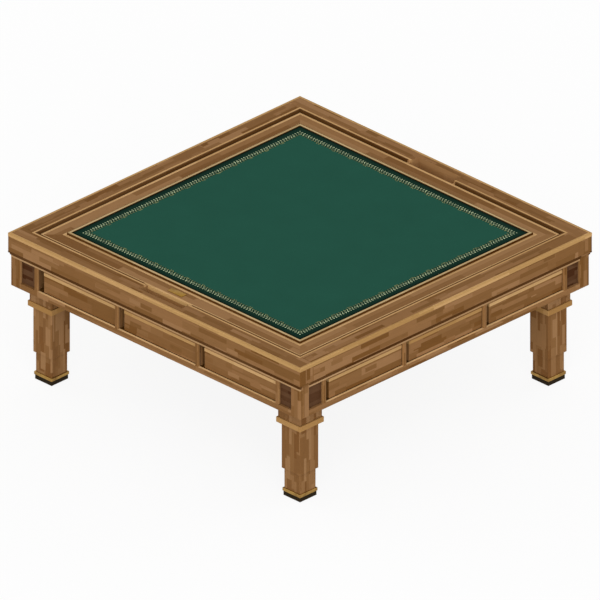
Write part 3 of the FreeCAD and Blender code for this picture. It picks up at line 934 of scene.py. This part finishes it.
def dress_apron():
    """Mouldings under the rim, painted dark as the shade under its edge; rails, stiles, corner panels
    and the carcass behind them.
    """
    dress(wood("bed_wood", "round", BROWN, BOARD, seed=15.0), "bed_plates")
    dress(wood("moulding_shade_wood", "round", MOULDING_SHADE, TRIM, seed=16.0), "bed_mouldings")
    bead = wood("bead_wood", "round", TOP_BEAD, TRIM, seed=17.0, contrast=TRIM_CONTRAST)
    dress(bead, "apron_top_beads")
    # The pale ledge, and painted shade on the rail's top in the gap under the drawers.
    ledge = [(ledge_mask, LEDGE), (under_shade_mask, DARK)]
    dress(wood("apron_wood", "round", BROWN, BOARD, seed=13.0, marks=ledge), "apron_rails")
    # Stile sides: painted lighter to offset their shade, with painted shade deep in the slots.
    sides = [(reveal_mask, LIT_REVEAL), (slot_shade_mask, SLOT_SHADE)]
    stiles = wood("stile_wood", "z", BROWN, BOARD, seed=5.0, bevel=STILE_RUBBED, marks=sides)
    dress(stiles, "apron_stiles", "corner_stiles")
    dress(wood("upright_wood", "z", BROWN, BOARD, seed=5.5), "drawer_muntins", "corner_blocks")
    dress(wood("panel_wood", "round", PANEL, BOARD, seed=12.0), "corner_panels")
    carcass = wood("carcass_wood", "round", DARK, BOARD, seed=10.0)
    dress(carcass, "carcass_rails", "bottom_cleats", "drawer_guides")
    dress(wood("bottom_wood", "x", DARK, BOARD, seed=13.0), "bottom_panel")


def dress_drawers():
    """Drawer fronts with their pale bands, and boxes of bare wood."""
    for turn, side in enumerate(SIDES):
        direction = "y" if turn % 2 else "x"
        box_wood = wood(f"{side}_box_wood", direction, BARE, TRIM, seed=BOX_SEED + turn)
        for step, place in enumerate(PLACES):
            front = f"{side}_{place}_drawer_front"
            tones = BAND_MIDDLE if place == "middle" else BAND
            bands = [(band_mask(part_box(front)[1].z), tones)]
            seed = DRAWER_SEED + len(PLACES) * turn + step
            dress(wood(f"{front}_wood", direction, BROWN, BOARD, seed, marks=bands), front)
            dress(box_wood, f"{side}_{place}_drawer_box")


def dress_legs():
    """Legs with their bands, brass, feet and bolts."""
    for number, corner in enumerate(CORNERS):
        dress(wood(f"{corner}_leg_wood", "z", LEG, LEG_STAVES, seed=LEG_SEED + number), f"{corner}_leg")
    dress(wood("leg_band_wood", "round", LEG_BAND, TRIM, seed=18.0, contrast=TRIM_CONTRAST), "leg_bands")
    dress(brass("foot_brass", FOOT_BRASS), "foot_bands")
    dress(black_foot(), "feet")
    dress(steel(), "leg_bolts")


# Playing cloth and its stitched border

CLOTH_CELLS = 139
CLOTH_EDGE_DROP = 0.5 * MM
CLOTH_EDGE_ROLL = 4.0 * MM
CLOTH_CREASE = math.radians(40)


def add_piece(name, made, material):
    """A piece of the table, with smooth faces, from a finished bmesh."""
    mesh = bpy.data.meshes.new(name)
    made.to_mesh(mesh)
    made.free()
    mesh.shade_smooth()
    mesh.materials.append(material)
    piece = bpy.data.objects.new(name, mesh)
    bpy.context.scene.collection.objects.link(piece)
    return piece


def make_cloth():
    """The cloth as a closed thin sheet whose edge is pressed down along the bead."""
    low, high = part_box("playing_cloth")
    side = high.x - low.x
    made = bmesh.new()
    bmesh.ops.create_grid(made, x_segments=CLOTH_CELLS, y_segments=CLOTH_CELLS, size=side / 2)
    for vertex in made.verts:
        inside = side / 2 - max(abs(vertex.co.x), abs(vertex.co.y))
        share = max(0.0, 1 - inside / CLOTH_EDGE_ROLL)
        vertex.co.z = high.z - CLOTH_EDGE_DROP * share ** 2
    shell = bmesh.ops.extrude_face_region(made, geom=made.faces[:])
    for vertex in [item for item in shell["geom"] if isinstance(item, bmesh.types.BMVert)]:
        vertex.co.z = low.z
    bmesh.ops.recalc_face_normals(made, faces=made.faces[:])
    cloth = add_piece("baize_cloth", made, baize())
    cloth.data.set_sharp_from_angle(angle=CLOTH_CREASE)
    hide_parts("playing_cloth")
    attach(cloth, "table")
    return cloth, side


# Stitches: length, width and height.
KNOT = (3.8 * MM, 2.7 * MM, 0.5 * MM)
SMALL_KNOT = (3.4 * MM, 2.6 * MM, 0.4 * MM)
TICK = (6.4 * MM, 1.6 * MM, 0.5 * MM)
STITCH_SINK = 0.15 * MM
# Outline of a stitch in shares of its length and width, and what is left of it at its waist and ridge.
STITCH_OUTLINE = ((-0.5, 0.0), (-0.3, -0.5), (0.3, -0.5), (0.5, 0.0), (0.3, 0.5), (-0.3, 0.5))
WAIST_LENGTH = 0.86
WAIST_WIDTH = 0.8
WAIST_HEIGHT = 0.7
RIDGE_REACH = 0.26

KNOT_PITCH = 7.4 * MM
# Rows of knots: distance in from the edge of the top, knot, and how far on each row starts, in pitches.
BORDER_ROWS = (
    (114.8 * MM, KNOT, 0.0),
    (118.4 * MM, KNOT, 0.5),
    (121.9 * MM, SMALL_KNOT, 0.5),
    (125.3 * MM, SMALL_KNOT, 0.0),
)
TICK_SLANT = math.radians(50)
TICK_PITCH = 48.0 * MM
TICK_PAIR = 5.2 * MM
TICK_MARGIN = 16.0 * MM
TICK_CENTRE = 127.6 * MM


def add_stitch(made, middle, angle, size, level):
    """One raised stitch: a long six-sided loop with a rounded back."""
    length, width, height = size
    turn = Matrix.Rotation(angle, 2)

    def point(u, v, up):
        flat = turn @ Vector((u * length, v * width)) + middle
        return made.verts.new((flat.x, flat.y, level + up * height))

    base = [point(u, v, 0.0) for u, v in STITCH_OUTLINE]
    waist = [point(u * WAIST_LENGTH, v * WAIST_WIDTH, WAIST_HEIGHT) for u, v in STITCH_OUTLINE]
    ridge = [point(-RIDGE_REACH, 0.0, 1.0), point(RIDGE_REACH, 0.0, 1.0)]
    crown = [ridge[0] if u < 0 else ridge[1] for u, v in STITCH_OUTLINE]
    for index in range(len(base)):
        after = (index + 1) % len(base)
        top = [crown[after]] if crown[after] is crown[index] else [crown[after], crown[index]]
        made.faces.new((base[index], base[after], waist[after], waist[index]))
        made.faces.new((waist[index], waist[after], *top))
    made.faces.new(list(reversed(base)))


def make_border():
    """Rows of knots round the cloth, with pairs of slanted ticks along the inner one."""
    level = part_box("playing_cloth")[1].z - STITCH_SINK
    made = bmesh.new()
    for side in range(len(SIDES)):
        angle = side * math.pi / 2
        turn = Matrix.Rotation(angle, 2)
        for distance, knot, start in BORDER_ROWS:
            reach = cad_high.x - distance
            count = round(2 * reach / KNOT_PITCH)
            for index in range(count):
                along = reach * (2 * (index + start) / count - 1)
                add_stitch(made, turn @ Vector((along, -reach)), angle, knot, level)
        reach = cad_high.x - TICK_CENTRE
        count = int(2 * (reach - TICK_MARGIN) / TICK_PITCH)
        for index in range(count):
            for offset in (-TICK_PAIR / 2, TICK_PAIR / 2):
                along = (index - (count - 1) / 2) * TICK_PITCH + offset
                add_stitch(made, turn @ Vector((along, -reach)), angle - TICK_SLANT, TICK, level)
    border = add_piece("cloth_border", made, gold_thread())
    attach(border, "table")
    return border


# Brass plate

PLATE_BEVEL = 0.35 * MM
PLATE_BEVEL_STEPS = 2
PLATE_BEVEL_PROFILE = 0.6
PLATE_CREASE = math.radians(35)
PIN_RADIUS = 1.3 * MM
PIN_HEIGHT = 0.5 * MM
PIN_INSET = 3.2 * MM
PIN_SINK = PLATE_BEVEL / 4
PIN_COLUMNS = 20
PIN_RINGS = 12
WELD = 0.01 * MM


def add_pin(made, x, y, level):
    """The low round head of a pin."""
    head = bmesh.ops.create_uvsphere(
        made, u_segments=PIN_COLUMNS, v_segments=PIN_RINGS, radius=PIN_RADIUS
    )
    for vertex in head["verts"]:
        up = max(vertex.co.z, 0.0) * PIN_HEIGHT / PIN_RADIUS
        vertex.co = Vector((x + vertex.co.x, y + vertex.co.y, level + up))


def make_plaque():
    """A blank plate with bevelled edges, held by a round-headed pin at each end."""
    low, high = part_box("brass_plaque")
    size = high - low
    middle = (low + high) / 2
    made = bmesh.new()
    bmesh.ops.create_cube(made, size=1.0)
    for vertex in made.verts:
        vertex.co = Vector([low[i] + (vertex.co[i] + 0.5) * size[i] for i in range(3)])
    edges = [edge for edge in made.edges if all(vertex.co.z > middle.z for vertex in edge.verts)]
    bmesh.ops.bevel(
        made,
        geom=edges,
        offset=PLATE_BEVEL,
        segments=PLATE_BEVEL_STEPS,
        profile=PLATE_BEVEL_PROFILE,
        affect="EDGES",
    )
    for x in (low.x + PIN_INSET, high.x - PIN_INSET):
        add_pin(made, x, middle.y, high.z - PIN_SINK)
    bmesh.ops.remove_doubles(made, verts=made.verts[:], dist=WELD)
    plate = add_piece("brass_plate", made, brass("plaque_brass", PLATE_BRASS, PLATE_SEED))
    plate.data.set_sharp_from_angle(angle=PLATE_CREASE)
    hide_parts("brass_plaque")
    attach(plate, "table")


bpy.context.scene.view_settings.view_transform = "Standard"
make_camera()
make_light()
make_floor()
dress_rim()
dress_field()
dress_apron()
dress_drawers()
dress_legs()
make_plaque()
cloth, cloth_side = make_cloth()
border = make_border()
